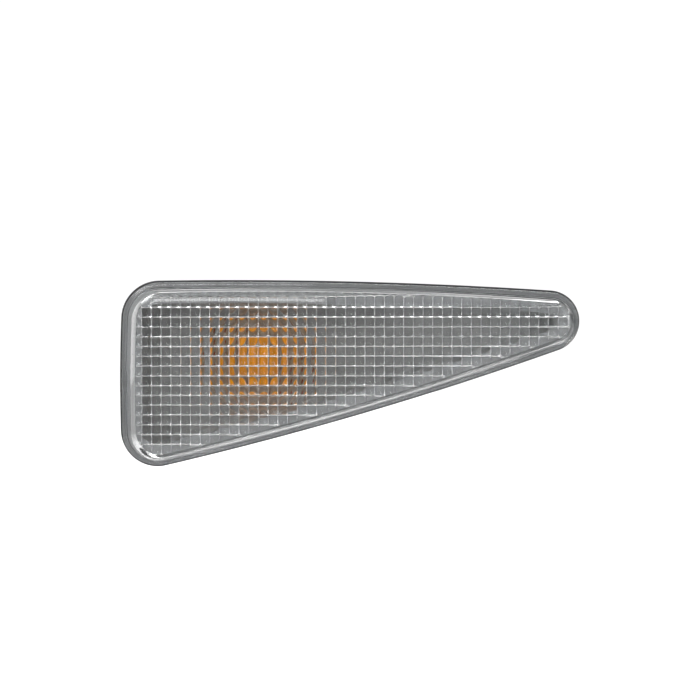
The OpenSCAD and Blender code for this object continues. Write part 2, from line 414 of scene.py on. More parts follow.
# ---------------------------------------------------------------------------
# Materials
# ---------------------------------------------------------------------------
class Mat:
    def __init__(self, name, **props):
        self.m = bpy.data.materials.new(name)
        self.m.use_nodes = True
        self.t = self.m.node_tree
        self.n = self.t.nodes
        self.b = self.n["Principled BSDF"]
        self.out = self.n["Material Output"]
        for k, v in props.items():
            self.b.inputs[k.replace("_", " ")].default_value = v
        self.co = self.n.new("ShaderNodeTexCoord").outputs["Object"]

    def link(self, a, b):
        self.t.links.new(a, b)

    def noise(self, scale, detail=3.0, rough=0.55, stretch=(1, 1, 1), distortion=0.0):
        mp = self.n.new("ShaderNodeMapping")
        mp.inputs["Scale"].default_value = stretch
        self.link(self.co, mp.inputs["Vector"])
        nz = self.n.new("ShaderNodeTexNoise")
        nz.inputs["Scale"].default_value = scale
        nz.inputs["Detail"].default_value = detail
        nz.inputs["Roughness"].default_value = rough
        nz.inputs["Distortion"].default_value = distortion
        self.link(mp.outputs["Vector"], nz.inputs["Vector"])
        return nz.outputs["Fac"]

    def span(self, fac, lo, hi, a=0.3, b=0.7):
        mr = self.n.new("ShaderNodeMapRange")
        mr.inputs["From Min"].default_value = a
        mr.inputs["From Max"].default_value = b
        mr.inputs["To Min"].default_value = lo
        mr.inputs["To Max"].default_value = hi
        self.link(fac, mr.inputs["Value"])
        return mr.outputs["Result"]

    def colour(self, fac, stops, socket="Base Color"):
        cr = self.n.new("ShaderNodeValToRGB")
        e = cr.color_ramp.elements
        e[0].position, e[0].color = stops[0][0], (*stops[0][1], 1)
        e[1].position, e[1].color = stops[-1][0], (*stops[-1][1], 1)
        for p, c in stops[1:-1]:
            x = e.new(p)
            x.color = (*c, 1)
        self.link(fac, cr.inputs["Fac"])
        self.link(cr.outputs["Color"], self.b.inputs[socket])
        return cr.outputs["Color"]

    def bump(self, height, strength, distance):
        bp = self.n.new("ShaderNodeBump")
        bp.inputs["Strength"].default_value = strength
        bp.inputs["Distance"].default_value = distance
        self.link(height, bp.inputs["Height"])
        old = self.b.inputs["Normal"].links
        if old:
            self.link(old[0].from_socket, bp.inputs["Normal"])
        self.link(bp.outputs["Normal"], self.b.inputs["Normal"])


def mat_lens():
    m = Mat("clear_acrylic", IOR=1.49, Transmission_Weight=1.0)
    m.colour(m.noise(80, 2), [(0.3, (0.955, 0.965, 0.965)), (0.7, (0.975, 0.98, 0.98))])
    m.link(m.span(m.noise(250, 3), 0.012, 0.035), m.b.inputs["Roughness"])
    m.bump(m.noise(130, 2, stretch=(1, 1, 0.35)), 0.05, 0.00014)
    return m.m


def mat_plastic(name, lo, hi, r0, r1, grain=3200, depth=0.00002, strength=0.35):
    m = Mat(name, IOR=1.5)
    m.colour(m.noise(60, 4), [(0.3, lo), (0.7, hi)])
    m.link(m.span(m.noise(520, 3), r0, r1), m.b.inputs["Roughness"])
    m.bump(m.noise(grain, 2, 0.6), strength, depth)
    return m.m


def mat_rubber(name, lo, hi, r0=0.6, r1=0.8, grain=1800, depth=0.00005, strength=0.5):
    m = Mat(name, IOR=1.45)
    m.colour(m.noise(400, 5, 0.7), [(0.25, lo), (0.75, hi)])
    m.link(m.span(m.noise(600, 3), r0, r1), m.b.inputs["Roughness"])
    m.bump(m.noise(grain, 3, 0.65), strength, depth)
    return m.m


def mat_metal(name, lo, hi, r0, r1, stretch=(1, 1, 18), grain=1200, strength=0.15):
    m = Mat(name, Metallic=1.0)
    f = m.noise(grain, 3, 0.6, stretch=stretch)
    m.colour(m.noise(220, 3), [(0.3, lo), (0.7, hi)])
    m.link(m.span(f, r0, r1), m.b.inputs["Roughness"])
    m.bump(f, strength, 0.000008)
    return m.m


def mat_amber():
    m = Mat("amber_glass", IOR=1.5, Subsurface_Weight=0.7, Subsurface_Scale=0.004)
    m.b.inputs["Subsurface Radius"].default_value = (1.0, 0.5, 0.15)
    m.b.inputs["Specular IOR Level"].default_value = 0.1
    # painted light: the unlit bulb glows amber by its own emission, standing in for light passing through the
    # amber glass
    m.b.inputs["Emission Color"].default_value = (1.0, 0.39, 0.002, 1)
    m.link(m.span(m.noise(520, 2, 0.6, stretch=(1, 1, 0.12)), 0.26, 0.56, 0.38, 0.62),
           m.b.inputs["Emission Strength"])
    m.colour(m.noise(360, 3), [(0.3, (0.12, 0.048, 0.0004)), (0.7, (0.16, 0.066, 0.0006))])
    m.link(m.span(m.noise(800, 2), 0.10, 0.16), m.b.inputs["Roughness"])
    m.bump(m.noise(420, 2), 0.08, 0.00007)
    return m.m


def mat_housing():
    """Grey moulding with painted light: paler along the welded flange, inside the bulb's
    well and on the tray's floor towards the tip, where the real moulding is one grey"""
    m = Mat("grey_abs_painted_light", IOR=1.5)
    body = m.colour(m.noise(60, 4), [(0.3, (0.235, 0.237, 0.233)), (0.7, (0.270, 0.272, 0.268))])
    sep = m.n.new("ShaderNodeSeparateXYZ")
    m.link(m.co, sep.inputs[0])
    # painted light: the moulding turns paler from 5.5 mm behind the seat towards the welded flange in front
    mx = m.n.new("ShaderNodeMix")
    mx.data_type = "RGBA"
    m.link(m.span(sep.outputs["Y"], 0.0, 1.0, 0.0055, -0.0012), mx.inputs["Factor"])
    # painted light: faces turned to the front grow paler from x 18 mm to 52 mm, towards the tip
    tip_painted_light = m.n.new("ShaderNodeMix")
    tip_painted_light.data_type = "RGBA"
    side = m.n.new("ShaderNodeTexCoord")
    face = m.n.new("ShaderNodeSeparateXYZ")
    m.link(side.outputs["Normal"], face.inputs[0])
    inner = m.n.new("ShaderNodeMath")
    inner.operation = "MULTIPLY"
    m.link(m.span(sep.outputs["X"], 0.0, 1.0, 0.018, 0.052), inner.inputs[0])
    m.link(m.span(face.outputs["Y"], 0.0, 1.0, -0.2, -0.6), inner.inputs[1])
    m.link(inner.outputs[0], tip_painted_light.inputs["Factor"])
    m.link(body, tip_painted_light.inputs["A"])
    tip_painted_light.inputs["B"].default_value = (0.50, 0.505, 0.505, 1)
    m.link(tip_painted_light.outputs["Result"], mx.inputs["A"])
    mx.inputs["B"].default_value = (0.330, 0.338, 0.347, 1)
    # painted light: paler inside the bulb's well, within about 10 mm of its axis and from 5.5 mm deep
    flat = m.n.new("ShaderNodeVectorMath")
    flat.operation = "MULTIPLY"
    m.link(m.co, flat.inputs[0])
    flat.inputs[1].default_value = (1.0, 0.0, 1.0)
    reach = m.n.new("ShaderNodeVectorMath")
    reach.operation = "LENGTH"
    m.link(flat.outputs["Vector"], reach.inputs[0])
    well_painted_light_mask = m.n.new("ShaderNodeMath")
    well_painted_light_mask.operation = "MULTIPLY"
    m.link(m.span(reach.outputs["Value"], 1.0, 0.0, 0.0099, 0.0104), well_painted_light_mask.inputs[0])
    m.link(m.span(sep.outputs["Y"], 0.0, 1.0, 0.0055, 0.0080), well_painted_light_mask.inputs[1])
    well = m.n.new("ShaderNodeMix")
    well.data_type = "RGBA"
    m.link(well_painted_light_mask.outputs[0], well.inputs["Factor"])
    m.link(mx.outputs["Result"], well.inputs["A"])
    well.inputs["B"].default_value = (0.56, 0.56, 0.54, 1)
    m.link(well.outputs["Result"], m.b.inputs["Base Color"])
    m.link(m.span(m.noise(520, 3), 0.35, 0.5), m.b.inputs["Roughness"])
    m.bump(m.noise(3200, 2, 0.6), 0.35, 0.00002)
    return m.m


GREY = mat_housing()
NYLON = mat_plastic("grey_nylon", (0.46, 0.46, 0.445), (0.53, 0.53, 0.515), 0.38, 0.55)
FOAM = mat_rubber("black_foam", (0.016, 0.016, 0.018), (0.035, 0.035, 0.038))
SEAL = mat_rubber("red_silicone", (0.30, 0.045, 0.025), (0.40, 0.07, 0.04), 0.4, 0.55, 1200, 0.000015)
STEEL = mat_metal("spring_steel", (0.52, 0.52, 0.51), (0.66, 0.66, 0.64), 0.18, 0.34)
BRASS = mat_metal("tinned_brass", (0.72, 0.58, 0.34), (0.80, 0.68, 0.44), 0.2, 0.38)
WIRE = mat_metal("nickel_wire", (0.58, 0.57, 0.55), (0.68, 0.67, 0.64), 0.15, 0.3)
TUNGSTEN = mat_metal("tungsten_wire", (0.22, 0.22, 0.23), (0.32, 0.32, 0.33), 0.3, 0.5)
AMBER = mat_amber()

# ---------------------------------------------------------------------------
# Lens
# ---------------------------------------------------------------------------
FLANGE = 2.2
SEAT = 2.23            # underside of the lens, just clear of the flange
STEP = 3.3
FACE = 6.2
TIPZ = 3.7             # pad tips
LENS_IN = 2.6          # inner wall at the optics, inside the outline
MOUTH = 2.1            # and at the seat
SHIFT = (0.4, -0.1)    # of the optics
PX, PY = 1.757, 1.771
X0 = PX * 0.92 - 0.12  # one vertical joint between pads
Y0 = PY * 0.6 + 0.11   # one horizontal joint between pads
EDGE_X, EDGE_Y = 33.0, 20.0     # slope where a pad's dome meets its joint
JOINT_X, JOINT_Y = 0.10, 0.17   # half width of a joint
WALL_X, WALL_Y = 48.0, 50.0     # slope of a joint's walls
TURN_X, TURN_Y = 0.07, 0.08     # blend from dome to wall
FLOOR = 0.035                   # round of a joint's floor


def _profile(half, deg, joint, wall, turn):
    """Height and slope of half a pad, from its middle to the floor of the joint"""
    t1 = half - joint
    R = t1 / math.sin(math.radians(deg))
    sl = math.tan(math.radians(wall))
    t = np.linspace(0, half, 2001)
    c = np.minimum(t, t1)
    dome = c / np.sqrt(R * R - c * c)
    k = np.clip((t - t1) / turn, 0, 1)
    s = dome + (sl - dome) * k
    s = np.where(t > half - FLOOR, sl * (half - t) / FLOOR, s)
    z = np.concatenate([[0], np.cumsum((s[1:] + s[:-1]) / 2 * np.diff(t))])

    def f(q):
        return np.interp(np.abs(q), t, z)

    def g(q):
        return np.sign(q) * np.interp(np.abs(q), t, s)

    return f, g, t1


FX, GX, TX1 = _profile(PX / 2, EDGE_X, JOINT_X, WALL_X, TURN_X)
FY, GY, TY1 = _profile(PY / 2, EDGE_Y, JOINT_Y, WALL_Y, TURN_Y)


def pillow(x, y):
    """Height and slope of the inner optic face"""
    u = (np.asarray(x, float) - X0) / PX
    v = (np.asarray(y, float) - Y0) / PY
    tx = (u - np.floor(u) - 0.5) * PX
    ty = (v - np.floor(v) - 0.5) * PY
    return TIPZ + FX(tx) + FY(ty), GX(tx), GY(ty)


def crown(x, z):
    share = min(max((z - STEP) / 1.5, 0.0), 1.0)
    return z - share * (x - 16.8) ** 2 / 2800.0


def build_lens():
    m = Mesh()
    # outer skin, from the seat round the edge and up to the face
    prof = [(0.39, SEAT, 0), (0.35, SEAT + 0.04, 0), (0.35, 2.88, 0)]
    prof += [(0.77 - 0.42 * math.cos(math.radians(a)), 2.88 + 0.42 * math.sin(math.radians(a)), 0)
             for a in (12, 24, 36, 48, 60, 75, 90)]
    prof += [(0.80, 3.300, 0.1), (0.845, 3.315, 0.15), (0.895, 3.37, 0.2), (0.94, 3.46, 0.25)]
    prof += [(1.12, 3.89, 0.4), (1.33, 4.41, 0.6), (1.526, 4.89, 0.75)]
    prof += [(1.61, 5.08, 0.8), (1.70, 5.28, 0.85), (1.82, 5.50, 0.9), (1.97, 5.70, 0.95),
             (2.17, 5.87, 1), (2.39, 6.00, 1), (2.66, 6.09, 1), (2.98, 6.15, 1),
             (3.32, 6.185, 1), (3.64, 6.2, 1)]
    loops = []
    for d, z, lean in prof:
        pts, par = outline(d, lean)
        loops.append(m.loop([(x, y, crown(x, z)) for x, y in pts]))
    for a, b in zip(loops, loops[1:]):
        m.bridge(a, b)
    # face: shrinking rings
    pts, _ = outline(3.64, 1)
    mx, my = 14.0, 1.4
    last = loops[-1]
    for f in (0.9, 0.78, 0.64, 0.5, 0.36, 0.22, 0.1):
        nxt = m.loop([(mx + f * (x - mx), my + f * (y - my), crown(mx + f * (x - mx), FACE))
                      for x, y in pts])
        m.bridge(last, nxt)
        last = nxt
    c = m.loop([(mx, my, crown(mx, FACE))])[0]
    n = len(last)
    for i in range(n):
        m.face((last[i], last[(i + 1) % n], c))
    # underside: seat, weld rib, seat
    under = [(1.06, SEAT), (1.1, SEAT - 0.04), (1.1, 1.60), (1.15, 1.55), (1.95, 1.55),
             (2.0, 1.60), (2.0, SEAT - 0.04), (2.04, SEAT)]
    prev = loops[0]
    for d, z in under:
        pts, par = outline(d)
        nxt = m.loop([(x, y, z) for x, y in pts])
        m.bridge(nxt, prev)
        prev = nxt
    mouth, fpar = outline(MOUTH, 0, FINE)
    fine, _ = outline(LENS_IN, 0, FINE, SHIFT)
    low = m.loop([(x, y, SEAT) for x, y in mouth])
    m.zipper(low, fpar, prev, par)
    # drafted inner wall up to the optic face
    fx = np.array([p[0] for p in fine])
    fy = np.array([p[1] for p in fine])
    fz, _, _ = pillow(fx, fy)
    last = low
    for k in (0.05, 0.95, 1.0):
        nxt = m.loop([(a[0] + (b[0] - a[0]) * k, a[1] + (b[1] - a[1]) * k, SEAT + (TIPZ - SEAT) * k)
                      for a, b in zip(mouth, fine)])
        m.bridge(nxt, last)
        last = nxt
    top = m.loop([(x, y, z + 0.002) for x, y, z in zip(fx, fy, fz)])
    m.bridge(top, last)

    # optic face: a regular net of pads, then a band out to the wall
    def net(origin, pitch, t1, turn, steps, i0, i1):
        half = pitch / 2
        q = [t1 * k for k in steps] + [t1 + turn, half - FLOOR]
        q = [-v for v in reversed(q)] + [0.0] + q
        return sorted({round(origin + pitch * (i + 0.5) + v, 5) for i in range(i0, i1)
                       for v in q} | {round(origin + pitch * i, 5) for i in range(i0, i1)})

    gx = np.array(net(X0, PX, TX1, TURN_X, (0.4, 0.75, 1.0), -16, 36))
    gy = np.array(net(Y0, PY, TY1, TURN_Y, (0.5, 1.0), -14, 12))
    X, Y = np.meshgrid(gx, gy, indexing="ij")

    def inset(x, y):
        """How far a point is inside the wall's outline"""
        x = x - SHIFT[0]
        y = y - SHIFT[1]
        best = np.full(np.shape(x), 1e9)
        for i in range(3):
            dx, dy = x - EC[i][0], y - EC[i][1]
            best = np.minimum(best, ER[i] - np.hypot(dx, dy))
        for i in range(3):
            dx, dy = x - CC[i][0], y - CC[i][1]
            ang = np.arctan2(dy, dx)
            rel = np.mod(ang - A0[i], 2 * math.pi)
            incone = rel <= (A1[i] - A0[i])
            best = np.where(incone, np.minimum(best, CR[i] - np.hypot(dx, dy)), best)
        return best - LENS_IN

    inside = inset(X, Y) > 0.07
    quad = inside[:-1, :-1] & inside[1:, :-1] & inside[1:, 1:] & inside[:-1, 1:]
    used = np.zeros_like(inside)
    for a in (0, 1):
        for b in (0, 1):
            used[a:a + quad.shape[0], b:b + quad.shape[1]] |= quad
    ids = -np.ones(inside.shape, int)
    Z, _, _ = pillow(X, Y)
    where = np.argwhere(used)
    start = len(m.v)
    for k, (i, j) in enumerate(where):
        ids[i, j] = start + k
    m.v.extend([(X[i, j], Y[i, j], Z[i, j]) for i, j in where])
    for i, j in np.argwhere(quad):
        m.face((ids[i, j], ids[i, j + 1], ids[i + 1, j + 1], ids[i + 1, j]), 1)
    # border of the net
    qp = np.pad(quad, 1)
    edges = []
    for i in range(quad.shape[0]):
        for j in range(quad.shape[1]):
            if not quad[i, j]:
                continue
            if not qp[i, j + 1]:
                edges.append((ids[i, j], ids[i, j + 1]))
            if not qp[i + 2, j + 1]:
                edges.append((ids[i + 1, j], ids[i + 1, j + 1]))
            if not qp[i + 1, j]:
                edges.append((ids[i, j], ids[i + 1, j]))
            if not qp[i + 1, j + 2]:
                edges.append((ids[i, j + 1], ids[i + 1, j + 1]))
    keys = sorted({k for e in edges for k in e})
    pos = {k: n for n, k in enumerate(keys)}
    src = list(top) + keys
    nt = len(top)
    pts2 = [Vector((m.v[k][0], m.v[k][1])) for k in src]
    ed = [(k, (k + 1) % nt) for k in range(nt)] + [(nt + pos[a], nt + pos[b]) for a, b in edges]
    out = delaunay_2d_cdt(pts2, ed, [], 1, 1e-7, True)
    overts, _, ofaces, oorig, _, _ = out
    remap = []
    for k, o in enumerate(oorig):
        if o:
            remap.append(src[o[0]])
        else:
            x, y = overts[k]
            z, _, _ = pillow(x, y)
            remap.append(m.loop([(x, y, float(z))])[0])
    for f in ofaces:
        cx = sum(overts[k][0] for k in f) / len(f)
        cy = sum(overts[k][1] for k in f) / len(f)
        i = int(np.searchsorted(gx, cx)) - 1
        j = int(np.searchsorted(gy, cy)) - 1
        if 0 <= i < quad.shape[0] and 0 <= j < quad.shape[1] and quad[i, j]:
            continue
        m.face(tuple(remap[k] for k in f), 1)
    ob = m.make("lens_moulding", 38.0)
    me = ob.data
    # true normals of the pads
    nl = len(me.loops)
    zone = np.zeros(len(me.polygons), np.int32)
    me.attributes["zone"].data.foreach_get("value", zone)
    tot = np.zeros(len(me.polygons), np.int32)
    me.polygons.foreach_get("loop_total", tot)
    lz = np.repeat(zone, tot)
    vi = np.zeros(nl, np.int32)
    me.loops.foreach_get("vertex_index", vi)
    co = np.zeros(len(me.vertices) * 3, np.float32)
    me.vertices.foreach_get("co", co)
    co = co.reshape(-1, 3) / MM
    x, y = co[vi, 0].astype(float), co[vi, 2].astype(float)
    _, sx, sy = pillow(x, y)
    nn = np.stack([sx, np.ones_like(sx), sy], 1)   # row frame: x, -z, y of (sx, sy, -1)
    nn /= np.linalg.norm(nn, axis=1)[:, None]
    cur = np.zeros(nl * 3, np.float32)
    me.corner_normals.foreach_get("vector", cur)
    cur = cur.reshape(-1, 3)
    use = np.where((lz == 1)[:, None], nn, cur)
    me.normals_split_custom_set([tuple(v) for v in use])
    return ob


finish_piece(build_lens(), "lens_moulding", "lamp_body", "lens", mat_lens())

# ---------------------------------------------------------------------------
# Housing
# ---------------------------------------------------------------------------
def slope(z0):
    """Depth of the tray's floor, which rises towards the tip"""
    return lambda x: z0 + max(0.0, x - 16.8) / 46.2 * 2.4


def lift(f, k):
    return lambda x: f(x) + k


CLIP_X, CLIP_Y = -22.7, -2.2
back, floor_in = slope(-6.8), slope(-5.5)

housing = outline_solid("housing_moulding", [
    (3.45, back), (3.15, lift(back, 0.08)), (2.97, lift(back, 0.24)), (2.9, lift(back, 0.5)),
    (2.9, 1.5)], strip=True)
boolean(housing, [
    outline_solid("flange", [(0.47, 1.0), (0.39, 1.03), (0.35, 1.1), (0.35, 2.1), (0.39, 2.17),
                             (0.47, 2.2)]),
    lathe("well", [(10.85, -21.4), (11.1, -21.3), (11.2, -21.05), (11.2, -6.0)], 128),
    round_box("clip_pad", CLIP_X, -21.2, CLIP_Y - 6, CLIP_Y + 6, -8.4, -2.2, 0.22, 3),
    extrude_side("hook", [(53.2, -4.3), (56.9, -4.3), (57.6, -3.6), (57.6, -2.55), (57.3, -2.25),
                          (53.2, -2.25)], 4.92, 9.92, "xz", 0.14, 2),
    extrude_side("rib_long", [(9, -6.2), (9, -9.5), (32, -9.5), (42.7, -5.3)], 2.2, 3.6, "xz", 0.2, 3),
    round_box("rib_short", -21, -10.0, 2.2, 3.6, -9.5, -6.3, 0.2, 3),
])
cuts = [
    outline_solid("cavity", [(4.7, floor_in), (4.4, lift(floor_in, 0.08)), (4.17, lift(floor_in, 0.28)),
                             (4.1, lift(floor_in, 0.55)), (4.1, 3.5)], strip=True),
    lathe("well_in", [(9.4, -19.0), (9.7, -18.9), (9.8, -18.6), (9.8, -6.0), (9.88, -5.75),
                      (10.05, -5.5), (10.05, -4.0)], 128),
    outline_solid("groove", [(1.05, 1.5), (1.05, 3.2), (2.05, 3.2), (2.05, 1.5)], closed=True),
    lathe("hole", [(7.85, -21.6), (7.85, -21.4), (7.6, -21.15), (7.6, -19.15), (7.75, -19.0),
                   (7.75, -18.5)], 128),
]
for k in (0, 180):
    cuts.append(sector("notch", 7, 9.6, -25 + k, 30, -22.4, -18.0, 12))
# shallow marks left by the mould's ejector pins
for px, py in ((-17.0, 7.5), (-17.5, -10.6), (15.5, 8.2), (17.5, -5.0), (27.0, 7.6), (37.5, 6.8),
               (48.0, 6.0)):
    pz = back(px)
    cuts.append(lathe("pin", [(1.15, pz - 1.0), (1.15, pz + 0.07)], 40,
                      lambda a, b, c, x=px, y=py: (a + x, b + y, c)))
boolean(housing, cuts, "DIFFERENCE")
adds = []
for k in (0, 180):
    for at in (37.5, -43.5):
        adds.append(sector("stop", 7.9, 10.2, at + k, 6, -19.2, -17.0, 4, 0.12))
adds.append(lathe("stud", [(1.1, -0.4), (1.1, 0.42), (1.78, 0.44), (1.8, 0.52), (1.72, 0.66),
                           (1.5, 0.78), (1.1, 0.84), (0.5, 0.84)], 48,
                  lambda a, b, c: (CLIP_X - c, CLIP_Y + b, -5.2 + a)))
boolean(housing, adds)
tidy(housing)
finish_piece(housing, "housing_moulding", "lamp_body", "housing", GREY)

# ---------------------------------------------------------------------------
# Gasket
# ---------------------------------------------------------------------------
gasket = outline_solid("gasket_ring", [
    (0.16, 0.0), (0.05, 0.04), (0.0, 0.14), (0.02, 0.5), (0.0, 0.86), (0.05, 0.96), (0.16, 1.0),
    (2.14, 1.0), (2.25, 0.96), (2.3, 0.86), (2.3, 0.14), (2.25, 0.04), (2.14, 0.0)], closed=True)
finish_piece(gasket, "gasket_ring", "lamp_body", "gasket", FOAM)

# ---------------------------------------------------------------------------
# Spring clip
# ---------------------------------------------------------------------------
leaf = [(-0.21, -2.6), (-0.21, -7.5)]
leaf += [(-0.86 + 0.65 * math.cos(math.radians(a)), -7.5 - 0.65 * math.sin(math.radians(a)))
         for a in range(10, 175, 12)]
leaf += [(-1.52, -7.35), (-1.60, -6.6), (-1.70, -5.7), (-1.80, -4.9), (-1.86, -4.42)]
leaf += [(-1.47 - 0.4 * math.cos(math.radians(a)), -4.3 + 0.4 * math.sin(math.radians(a)))
         for a in (5, 25, 45, 65, 85, 105, 120, 135)]
leaf += [(-1.0, -3.53), (-0.8, -3.05)]
clip = extrude_side("clip_leaf", band(leaf, 0.2), CLIP_Y - 5, CLIP_Y + 5, "xz", 0.05, 2, 60)
for v in clip.data.vertices:
    v.co.x += CLIP_X * MM
boolean(clip, [
    lathe("stud_hole", [(1.2, -1.0), (1.2, 0.5)], 48,
          lambda a, b, c: (CLIP_X + c, CLIP_Y + b, -5.2 + a)),
    lathe("tool_hole", [(2.0, -5.0), (2.0, -0.8)], 48,
          lambda a, b, c: (CLIP_X + c, CLIP_Y + b, -5.2 + a)),
], "DIFFERENCE")
tidy(clip)
finish_piece(clip, "clip_leaf", "lamp_body", "spring_clip", STEEL)

# ---------------------------------------------------------------------------
# Bulb holder
# ---------------------------------------------------------------------------
holder = lathe("holder_body", [(10.75, -24.6), (10.93, -24.53), (11.0, -24.35), (11.0, -22.85),
                               (10.93, -22.67), (10.75, -22.6)], 128)
parts = [
    lathe("neck", [(7.54, -23.0), (7.54, -16.95), (7.45, -16.7), (7.25, -16.6)], 128),
    rrect_solid("shroud", [(0.22, -40.2), (0.06, -40.13), (0, -39.95), (0, -23.0)], 16, 13.2, 2),
    extrude_side("latch", [(6.2, -34.4), (6.55, -34.6), (7.9, -35.2), (6.55, -38.0), (6.2, -38.2)],
                 -2.5, 2.5, "yz", 0.12, 2),
]
for k in (0, 180):
    parts.append(sector("lug", 7, 9.4, 20 + k, 26, -18.95, -16.6, 10, 0.15))
for s in (-1, 1):
    parts.append(round_box("grip", min(s * 6.9, s * 12.5), max(s * 6.9, s * 12.5), -1.2, 1.2,
                           -32.6, -23.6, 0.4, 3))
boolean(holder, parts)
cuts = [
    lathe("recess", [(5.5, -21.3), (5.5, -16.85), (5.75, -16.6), (5.75, -15.0)], 96),
    round_box("pocket", -5.1, 5.1, -3.1, 3.1, -28.8, -20.7, 0.25, 2),
    rrect_solid("plug_room", [(0, -41.2), (0, -30.3), (0.1, -30.2)], 13, 10.2, 1),
    rrect_solid("mouth", [(-0.25, -41.0), (-0.25, -40.2), (0.05, -39.9)], 13, 10.2, 1),
]
for s in (-1, 1):
    cuts.append(round_box("slot", -1.45, 1.45, s * 2.9 - 0.45, s * 2.9 + 0.45, -31.2, -27.8, 0.0))
    # grooves across the finger grips
    for gz in (-31.0, -29.6, -28.2, -26.8):
        for t in (-1, 1):
            cuts.append(lathe("groove", [(0.3, 8.0), (0.3, 13.0)], 16,
                              lambda a, b, c, s=s, z=gz, t=t: (s * c, t * 1.36 + b, z + a)))
boolean(holder, cuts, "DIFFERENCE")
tidy(holder)
finish_piece(holder, "holder_body", "holder_unit", "bulb_holder", NYLON)

seal = lathe("seal_ring", [
    (7.75, -22.6), (7.7, -22.5), (7.7, -21.55), (7.78, -21.46), (8.5, -21.45), (8.7, -21.6),
    (9.2, -21.6), (9.4, -21.45), (10.1, -21.46), (10.25, -21.56), (10.3, -21.75), (10.16, -22.02),
    (10.3, -22.3), (10.25, -22.5), (10.1, -22.6)], 128, closed=True)
finish_piece(seal, "seal_ring", "holder_unit", "holder_seal", SEAL)

# ---------------------------------------------------------------------------
# Contacts
# ---------------------------------------------------------------------------
for tag, s in (("a", 1), ("b", -1)):
    path = rounded_path([(2.75, -28.8), (2.75, -26.6), (1.78, -24.75), (1.78, -23.95), (2.75, -22.1),
                         (2.75, -21.7)], [0.9, 0.7, 0.7, 0.5], 5)
    strip = extrude_side("contact_strip_" + tag, [(s * y, z) for y, z in band(path, 0.25)],
                         -2.5, 2.5, "yz", 0.06, 2, 60)
    blade = extrude_side("blade", [(-1.4, -28.4), (1.4, -28.4), (1.4, -37.2), (0.9, -38.0),
                                   (-0.9, -38.0), (-1.4, -37.2)],
                         min(s * 2.5, s * 3.3), max(s * 2.5, s * 3.3), "xz", 0.12, 2)
    boolean(strip, blade)
    tidy(strip)
    finish_piece(strip, "contact_strip_" + tag, "holder_unit", "contact_" + tag, BRASS)

# ---------------------------------------------------------------------------
# Bulb
# ---------------------------------------------------------------------------
BR = 5.1
DOME = -2.2 - BR
N = 96


def ring_mix(r, w, h, cr, k, z):
    """A loop between a circle (k = 0) and a flat rectangle with round corners (k = 1)"""
    flat = rrect(w, h, cr, 6)
    pts = flat + [flat[0]]
    acc = [0.0]
    for a, b in zip(pts, pts[1:]):
        acc.append(acc[-1] + math.dist(a, b))
    total = acc[-1]
    off = total - flat[0][1]      # where the right side crosses y = 0
    out = []
    for i in range(N):
        a = 2 * math.pi * i / N
        t = (off + total * i / N) % total
        j = max(n for n in range(len(flat)) if acc[n] <= t + 1e-9)
        seg = acc[j + 1] - acc[j]
        u = (t - acc[j]) / seg if seg > 0 else 0
        fx = pts[j][0] + (pts[j + 1][0] - pts[j][0]) * u
        fy = pts[j][1] + (pts[j + 1][1] - pts[j][1]) * u
        out.append((r * math.cos(a) * (1 - k) + fx * k, r * math.sin(a) * (1 - k) + fy * k, z))
    return out


def dome_rings(r, z0):
    out = []
    for a in range(6, 90, 6):
        c, s = math.cos(math.radians(a)), math.sin(math.radians(a))
        out.append([(r * c * math.cos(2 * math.pi * i / N), r * c * math.sin(2 * math.pi * i / N),
                     z0 + r * s) for i in range(N)])
    return out


def bulb_part(name, rings, tip_z):
    m = Mesh()
    loops = [m.loop(r) for r in rings]
    for a, b in zip(loops, loops[1:]):
        m.bridge(a, b)
    m.face(reversed(loops[0]))
    tip = m.loop([(0, 0, tip_z)])[0]
    for i in range(N):
        m.face((loops[-1][i], loops[-1][(i + 1) % N], tip))
    return m.make(name, 40)


outer = bulb_part("bulb_glass", [
    ring_mix(4, 8.6, 1.5, 0.5, 1, -27.7), ring_mix(4, 9.3, 2.0, 0.6, 1, -27.55),
    ring_mix(4, 9.5, 2.2, 0.6, 1, -27.2), ring_mix(4, 9.5, 2.2, 0.6, 1, -22.2),
    ring_mix(4.9, 9.5, 2.2, 0.6, 0.93, -21.7), ring_mix(4.95, 9.6, 2.4, 0.7, 0.72, -21.2),
    ring_mix(5.0, 9.7, 2.6, 0.8, 0.42, -20.8), ring_mix(5.05, 9.8, 3.0, 0.9, 0.18, -20.4),
    ring_mix(5.08, 9.8, 3.0, 0.9, 0.05, -20.0), ring_mix(5.1, 9.8, 3.0, 0.9, 0, -19.5),
    ring_mix(5.1, 9.8, 3.0, 0.9, 0, -14.0), ring_mix(5.1, 9.8, 3.0, 0.9, 0, DOME)]
    + dome_rings(BR, DOME), DOME + BR)
RI = BR - 0.55
inner = bulb_part("bulb_inner", [
    ring_mix(r, 9, 3, 0.9, 0, z) for r, z in ((0.6, -19.75), (2.0, -19.6), (3.4, -19.2),
                                              (4.2, -18.5), (4.5, -17.6), (RI, -16.8), (RI, DOME))]
    + dome_rings(RI, DOME), DOME + RI)
boolean(outer, inner, "DIFFERENCE")
smooth_by(outer, 50)
finish_piece(outer, "bulb_glass", "holder_unit", "bulb_envelope", AMBER)

for tag, s in (("a", -1), ("b", 1)):
    x, t = s * 1.9, -s
    path = [(x, 0, -8.32), (x, 0, -9.2), (x, 0, -11.0), (x * 1.04, 0, -14.0), (x, 0, -17.0),
            (x, 0, -20.0), (x, 0, -24.0), (x, 0, -27.7)]
    path += [(x, t * (0.65 - 0.65 * math.cos(math.radians(a))), -27.7 - 0.65 * math.sin(math.radians(a)))
             for a in range(15, 180, 15)]
    path += [(x, t * 1.3, -27.7), (x, t * 1.3, -26.2), (x, t * 1.3, -24.6), (x, t * 1.3, -23.1)]
    finish_piece(tube("bulb_wire_" + tag, path, 0.2, 12), "bulb_wire_" + tag, "holder_unit",
                 "bulb_lead_" + tag, WIRE)

